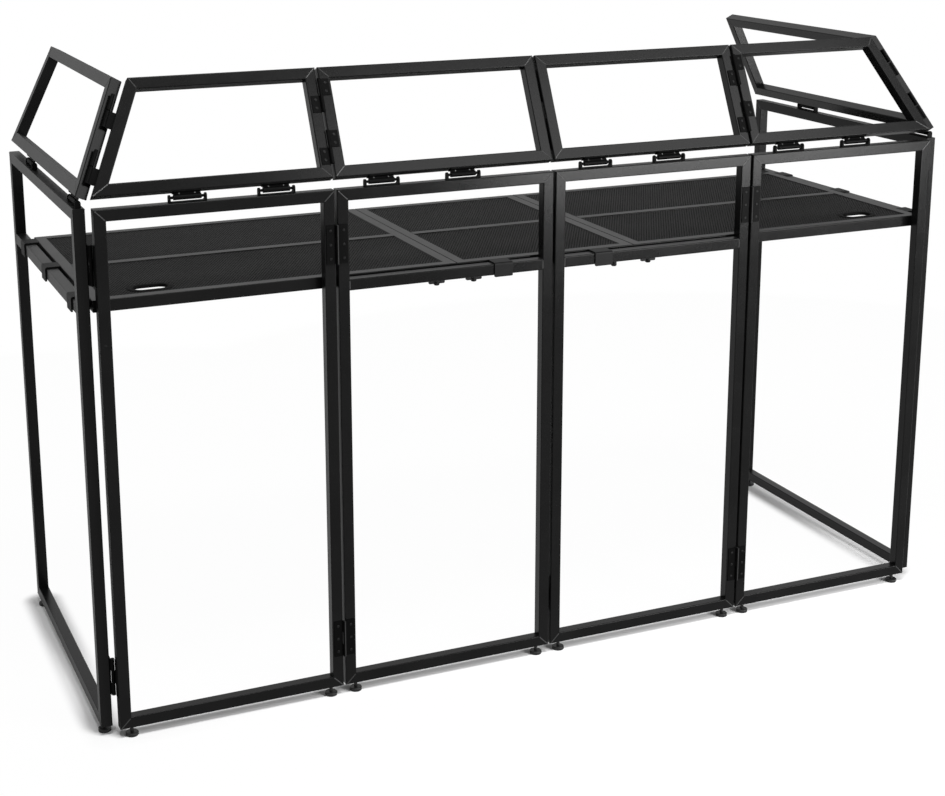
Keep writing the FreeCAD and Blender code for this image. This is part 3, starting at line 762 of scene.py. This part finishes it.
def tilt_hinges():
    """A bracket base under each pair of ears, and two rivets in each strap."""
    bases, rivets = {}, {}
    for number, (body, outline, place, crossbar) in enumerate(LOWER_FRAMES):
        width, height = outline[2]
        if number < len(TILT_FIRST):
            upper = "upper_%d" % (number + 1)
            along = [TILT_FIRST[number], TILT_FIRST[number] + TILT_SPACING]
        else:
            upper = body.replace("side", "upper")
            along = [width - spot if body == "side_left" else spot for spot in TILT_SIDE_PLACES]
        run = place.to_3x3() @ Vector((1, 0, 0))
        leaning = UPPER_FRAMES[upper][1]
        outwards = leaning.to_3x3() @ Vector((0, -1, 0))
        for x in along:
            bases.setdefault(body, []).append((place @ Vector((x, 0, height)), Vector((0, 0, 1)),
                                               math.atan2(run.y, run.x)))
            for aside in (-RIVET_APART, RIVET_APART):
                spot = leaning @ Vector((x + aside, STRAP_FACE, RIVET_HEIGHT))
                rivets.setdefault(upper, []).append((spot, outwards, 0.0))
    for body, places in bases.items():
        fittings(body + "_tilt_bases", bracket_base(), places, body, MATERIALS["hinge_steel"])
    for body, places in rivets.items():
        fittings(body + "_strap_rivets", rivet_head(), places, body, RIVET_MATERIAL)


# Weld beads

BEAD_RADIUS = 0.0018
BEAD_SUNK = 0.0013
BEAD_SHORT = 0.0032
BEAD_STEP = 0.0012
BEAD_SIDES = 10
RIPPLE = 0.0026
RIPPLE_DEPTH = 0.06


def bead_tree():
    """A rippled bead along each edge of a mesh."""
    tree = bpy.data.node_groups.new("weld_beads", "GeometryNodeTree")
    group_socket(tree, "Geometry", "Geometry")
    group_socket(tree, "Radius", "Float", default=0.0015)
    group_socket(tree, "Step", "Float", default=0.0012)
    group_socket(tree, "Ripple", "Float", default=0.0026)
    group_socket(tree, "Material", "Material")
    group_socket(tree, "Geometry", "Geometry", "OUTPUT")
    links = tree.links
    inputs = add_node(tree, "NodeGroupInput").outputs
    curves = add_node(tree, "GeometryNodeMeshToCurve")
    links.new(inputs["Geometry"], curves.inputs["Mesh"])
    even = add_node(tree, "GeometryNodeResampleCurve", mode="LENGTH")
    links.new(curves.outputs[0], even.inputs["Curve"])
    links.new(inputs["Step"], even.inputs["Length"])
    along = add_node(tree, "GeometryNodeSplineParameter").outputs["Length"]
    turns = math_node(tree, "MULTIPLY", math_node(tree, "DIVIDE", along, inputs["Ripple"]), 2 * math.pi)
    wave = math_node(tree, "MULTIPLY", math_node(tree, "SINE", turns), RIPPLE_DEPTH)
    round_profile = add_node(tree, "GeometryNodeCurvePrimitiveCircle", {"Resolution": BEAD_SIDES})
    links.new(inputs["Radius"], round_profile.inputs["Radius"])
    bead = add_node(tree, "GeometryNodeCurveToMesh", {"Fill Caps": True})
    links.new(even.outputs[0], bead.inputs["Curve"])
    links.new(round_profile.outputs["Curve"], bead.inputs["Profile Curve"])
    links.new(math_node(tree, "ADD", wave, 1.0), bead.inputs["Scale"])
    soft = add_node(tree, "GeometryNodeSetShadeSmooth")
    links.new(bead.outputs[0], soft.inputs["Geometry"])
    end_tree(tree, soft.outputs[0])
    return tree


def inset_outline(outline, distance):
    """The outline's corners moved inwards, so that every side moves by the distance."""
    inner = []
    for i, corner in enumerate(outline):
        before = (corner - outline[i - 1]).normalized()
        after = (outline[(i + 1) % len(outline)] - corner).normalized()
        bisector = (after - before).normalized()
        inner.append(corner + bisector * (distance / abs(before.x * bisector.y - before.y * bisector.x)))
    return inner


def mitre_lines(outline, place):
    """Lines over the mitres on both faces of a frame of square tubes, just under its surface."""
    lines = []
    for outer, inner in zip(outline, inset_outline(outline, TUBE)):
        run = (outer - inner).normalized() * BEAD_SHORT
        for depth in (BEAD_SUNK - TUBE / 2, TUBE / 2 - BEAD_SUNK):
            ends = [place @ Vector((end.x, depth, end.y)) for end in (inner + run, outer - run)]
            lines.append(ends)
    return lines


def crossbar_lines(width, low, high, place):
    """Lines over the joints of a crossbar with its posts, on both faces."""
    lines = []
    for x in (TUBE, width - TUBE):
        for depth in (BEAD_SUNK - TUBE / 2, TUBE / 2 - BEAD_SUNK):
            lines.append([place @ Vector((x, depth, z)) for z in (low + BEAD_SHORT, high - BEAD_SHORT)])
    return lines


def weld_beads():
    """Beads over the mitres and crossbar joints of every frame, one piece for each body."""
    lines = {}
    for body, outline, place, crossbar in LOWER_FRAMES:
        lines.setdefault(body, []).extend(mitre_lines(outline, place))
        if crossbar:
            lines[body].extend(crossbar_lines(outline[1].x, CROSSBAR_LOW, CROSSBAR_LOW + TUBE, place))
    for body, (outline, place) in UPPER_FRAMES.items():
        lines.setdefault(body, []).extend(mitre_lines(outline, place))
    tree = bead_tree()
    for body, ends in lines.items():
        points = [end for line in ends for end in line]
        edges = [(i, i + 1) for i in range(0, len(points), 2)]
        name = body + "_weld_beads"
        mesh = grown(tree, name, mesh_from("seed", points, edges=edges),
                     {"Radius": BEAD_RADIUS, "Step": BEAD_STEP, "Ripple": RIPPLE, "Material": WELD_MATERIAL})
        new_piece(name, mesh, body)


# Frames as outlines in their own planes, with the places they stand at


def rectangle(width, height):
    return [Vector((0, 0)), Vector((width, 0)), Vector((width, height)), Vector((0, height))]


def side_place(side, low, high):
    """The plane of a side frame: its left end is at the back on the left side."""
    sign = -1 if side == "left" else 1
    start = high.y if sign < 0 else low.y
    turn = Matrix.Rotation(math.radians(90 * sign), 4, "Z")
    return Matrix.Translation(Vector(((low.x + high.x) / 2, start, low.z))) @ turn


def read_frames():
    """The lower frames as a list, and the upper ones by name, each with its outline and its place."""
    lower, upper = [], {}
    lean = Matrix.Rotation(-LEAN, 4, "X")
    for i in range(4):
        low, high = node_box("front_frame_%d" % (i + 1))
        width, height = high.x - low.x, high.z - low.z
        place = Matrix.Translation(Vector((low.x, (low.y + high.y) / 2, low.z)))
        lower.append((FRONT_BODIES[i], rectangle(width, height), place, FRONT_BODIES[i] == ROOT))
        insets = (UPPER_INSET if i == 0 else 0.0, UPPER_INSET if i == 3 else 0.0)
        raised = place @ Matrix.Translation(Vector((0, 0, height + PIN_OVER_RAIL))) @ lean
        upper["upper_%d" % (i + 1)] = (upper_outline(width, *insets), raised)
    for side in ("left", "right"):
        low, high = node_box("side_frame_" + side)
        width, height = high.y - low.y, high.z - low.z
        place = side_place(side, low, high)
        lower.append(("side_" + side, rectangle(width, height), place, True))
        insets = (0.0, UPPER_INSET) if side == "left" else (UPPER_INSET, 0.0)
        raised = place @ Matrix.Translation(Vector((0, 0, height + PIN_OVER_RAIL))) @ lean
        upper["upper_" + side] = (upper_outline(width, *insets), raised)
    return lower, upper


def upper_outline(width, left_inset, right_inset):
    low, high = UPPER_OVER_PIN, UPPER_OVER_PIN + UPPER_SLANT
    return [Vector((0, low)), Vector((width, low)), Vector((width - right_inset, high)),
            Vector((left_inset, high))]


# Cable grommets

SLOT_LENGTH = 0.074
SLOT_WIDTH = 0.038
FLANGE_LENGTH = 0.100
FLANGE_WIDTH = 0.060
COLLAR_WALL = 0.0015
COLLAR_DROP = 0.0040
ARC_STEPS = 24
SHARP_ANGLE = math.radians(50)

# The flange's rounded edges: distances from the slot or from the outer edge, and shares of its rise
INNER_EDGE = ((0.0, 0.2), (0.0004, 0.7), (0.0012, 1.0))
OUTER_EDGE = ((0.0016, 0.94), (0.0005, 0.65), (0.0, 0.25))
GROMMET_SCREW_SIZE = 0.8


def stadium(length, width):
    """Points and outward directions round an oval slot: two straight sides and two half rounds."""
    straight, radius = (length - width) / 2, width / 2
    ring = []
    for end, first in ((1, -90), (-1, 90)):
        for i in range(ARC_STEPS + 1):
            angle = math.radians(first + 180 * i / ARC_STEPS)
            out = Vector((math.cos(angle), math.sin(angle), 0))
            ring.append((Vector((end * straight, 0, 0)) + out * radius, out))
    return ring


def grommet_mesh(centre, top, sheet_top, bottom):
    """A moulded collar through the sheet with a rounded flange on it, swept round the slot."""
    wide = (FLANGE_WIDTH - SLOT_WIDTH) / 2
    longer = (FLANGE_LENGTH - SLOT_LENGTH) / (FLANGE_WIDTH - SLOT_WIDTH)
    rise = top - sheet_top
    profile = [(0.0, bottom)]
    profile += [(distance, sheet_top + rise * share) for distance, share in INNER_EDGE]
    profile += [(wide - distance, sheet_top + rise * share) for distance, share in OUTER_EDGE]
    profile += [(wide, sheet_top), (COLLAR_WALL, sheet_top), (COLLAR_WALL, bottom)]
    points, faces = [], []
    ring = stadium(SLOT_LENGTH, SLOT_WIDTH)
    for place, out in ring:
        for distance, z in profile:
            stretch = 1.0 + (longer - 1.0) * abs(out.x) * min(1.0, distance / wide)
            spot = centre + place + out * distance * stretch
            points.append((spot.x, spot.y, z))
    count, size = len(ring), len(profile)
    for i in range(count):
        for j in range(size):
            here, there = i * size, (i + 1) % count * size
            k = (j + 1) % size
            faces.append((here + j, here + k, there + k, there + j))
    return points, faces


def cable_grommets():
    """Both grommets as one piece, and the screws at their ends as another."""
    low, high = node_box("cable_grommets")
    sheet_top = node_box("table_sheets")[1].z
    points, faces, screw_places = [], [], []
    for centre in grommet_centres().values():
        flat = Vector((centre.x, centre.y, 0))
        more_points, more_faces = grommet_mesh(flat, high.z, sheet_top, low.z - COLLAR_DROP)
        faces += [tuple(index + len(points) for index in face) for face in more_faces]
        points += more_points
        for end in (-1, 1):
            reach = (SLOT_LENGTH + FLANGE_LENGTH) / 4
            screw_places.append((Vector((centre.x + end * reach, centre.y, high.z)), Vector((0, 0, 1))))
    mesh = mesh_from("cable_grommet_collars", points, faces)
    builder = bmesh.new()
    builder.from_mesh(mesh)
    bmesh.ops.recalc_face_normals(builder, faces=builder.faces)
    builder.to_mesh(mesh)
    builder.free()
    mesh.polygons.foreach_set("use_smooth", [True] * len(mesh.polygons))
    mesh.set_sharp_from_angle(angle=SHARP_ANGLE)
    mesh.materials.append(MATERIALS["grommet_plastic"])
    piece = new_piece("cable_grommet_collars", mesh, ROOT)
    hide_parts("cable_grommets")
    screws("cable_grommet_screws", screw_places, ROOT, GROMMET_SCREW_SIZE)


# Floor, light and background

FLOOR_SIZE = 30.0
SHADOW_NEAR = 0.02
SHADOW_FAR = 0.06
LIFT_NEAR = 0.0
LIFT_FAR = 0.97
ROOM_NEAR = 1.0
ROOM_FAR = 2.4
PAPER_WHITE = 0.95
WORLD_LIGHT = 0.2

# Names, places, targets, widths, heights and watts of the lamps
SOFTBOXES = (
    ("low_softbox", (2.5, -3.7, 1.08), (2.5, 0.0, 1.08), 2.2, 1.36, 215.0),
    ("high_softbox", (2.45, -3.7, 3.85), (2.1, 0.0, 1.3), 3.1, 1.4, 82.0),
    ("top_softbox", (-0.6, -1.8, 4.5), (0.0, 0.0, 0.0), 2.4, 1.0, 155.0),
)


def ray_shown(tree):
    """Is the ray one that shows the background: from the camera, off gloss or through glass."""
    path = add_node(tree, "ShaderNodeLightPath").outputs
    return math_node(tree, "MAXIMUM", path["Is Camera Ray"],
                     math_node(tree, "MAXIMUM", path["Is Glossy Ray"], path["Is Transmission Ray"]))


def floor_material():
    """White paper that keeps the shadow close to the frames and goes to plain white away from them."""
    material = bpy.data.materials.new("white_floor")
    material.use_nodes = True
    tree = material.node_tree
    tree.nodes.clear()
    output = add_node(tree, "ShaderNodeOutputMaterial")
    paper = add_node(tree, "ShaderNodeBsdfDiffuse", {"Color": grey(PAPER_WHITE)})
    white = add_node(tree, "ShaderNodeEmission", {"Color": grey(1.0), "Strength": 1.0})
    spot = add_node(tree, "ShaderNodeSeparateXYZ")
    tree.links.new(add_node(tree, "ShaderNodeTexCoord").outputs["Object"], spot.inputs[0])
    across = math_node(tree, "ABSOLUTE", spot.outputs["X"])
    front_low, front_high = node_box("front_frame_1")
    side_low, side_high = node_box("side_frame_right")
    front_y = (front_low.y + front_high.y) / 2
    side_x = (side_low.x + side_high.x) / 2
    side_y = (side_low.y + side_high.y) / 2
    beyond_end = math_node(tree, "MAXIMUM", math_node(tree, "SUBTRACT", across, side_x), 0.0)
    from_front = length_of(tree, beyond_end, math_node(tree, "SUBTRACT", spot.outputs["Y"], front_y))
    along_side = math_node(tree, "ABSOLUTE", math_node(tree, "SUBTRACT", spot.outputs["Y"], side_y))
    half_side = (side_high.y - side_low.y) / 2
    past_side = math_node(tree, "MAXIMUM", math_node(tree, "SUBTRACT", along_side, half_side), 0.0)
    from_side = length_of(tree, math_node(tree, "SUBTRACT", across, side_x), past_side)
    distance = math_node(tree, "MINIMUM", from_front, from_side)
    close = ramp(tree, distance, SHADOW_NEAR, SHADOW_FAR, LIFT_NEAR, LIFT_FAR)
    room = ramp(tree, distance, ROOM_NEAR, ROOM_FAR, 0.0, 1.0)
    lift = math_node(tree, "MULTIPLY", math_node(tree, "MAXIMUM", close, room), ray_shown(tree))
    mix = add_node(tree, "ShaderNodeMixShader")
    tree.links.new(lift, mix.inputs["Fac"])
    tree.links.new(paper.outputs[0], mix.inputs[1])
    tree.links.new(white.outputs[0], mix.inputs[2])
    tree.links.new(mix.outputs[0], output.inputs["Surface"])
    return material


def softbox(name, place, target, width, height, watts):
    """A soft rectangular lamp that the camera doesn't see."""
    data = bpy.data.lights.new(name, "AREA")
    data.shape = "RECTANGLE"
    data.size = width
    data.size_y = height
    data.energy = watts
    lamp = bpy.data.objects.new(name, data)
    lamp.rotation_euler = (Vector(target) - Vector(place)).to_track_quat("-Z", "Y").to_euler()
    lamp.location = place
    lamp.visible_camera = False
    scene.collection.objects.link(lamp)


def studio():
    """The floor, the white background and the lamps."""
    corners = [(x * FLOOR_SIZE, y * FLOOR_SIZE, 0) for x, y in ((-1, -1), (1, -1), (1, 1), (-1, 1))]
    floor_mesh = mesh_from("floor", corners, [(0, 1, 2, 3)])
    floor_mesh.materials.append(floor_material())
    floor = bpy.data.objects.new("floor", floor_mesh)
    scene.collection.objects.link(floor)

    world = bpy.data.worlds.new("studio")
    scene.world = world
    world.use_nodes = True
    tree = world.node_tree
    tree.nodes.clear()
    output = add_node(tree, "ShaderNodeOutputWorld")
    soft = add_node(tree, "ShaderNodeBackground", {"Color": grey(1.0), "Strength": WORLD_LIGHT})
    seen = add_node(tree, "ShaderNodeBackground", {"Color": grey(1.0), "Strength": 1.0})
    mix = add_node(tree, "ShaderNodeMixShader")
    tree.links.new(ray_shown(tree), mix.inputs["Fac"])
    tree.links.new(soft.outputs[0], mix.inputs[1])
    tree.links.new(seen.outputs[0], mix.inputs[2])
    tree.links.new(mix.outputs[0], output.inputs["Surface"])

    for lamp in SOFTBOXES:
        softbox(*lamp)


LOWER_FRAMES, UPPER_FRAMES = read_frames()
CROSSBAR_LOW = node_box("table_frame_centre")[1].z - HOOK_THICKNESS - TUBE - node_box("front_frame_2")[0].z
FITTING_TREE = fitting_tree()

photo_camera()
dress_frame()
perforated_sheets()
cable_grommets()
weld_beads()
tilt_hinges()
for hinge_body, hinge_places in screws_on_hinges().items():
    screws(hinge_body + "_hinge_screws", hinge_places, hinge_body, HINGE_SCREW_SIZE)
studio()
scene.view_settings.view_transform = "Standard"
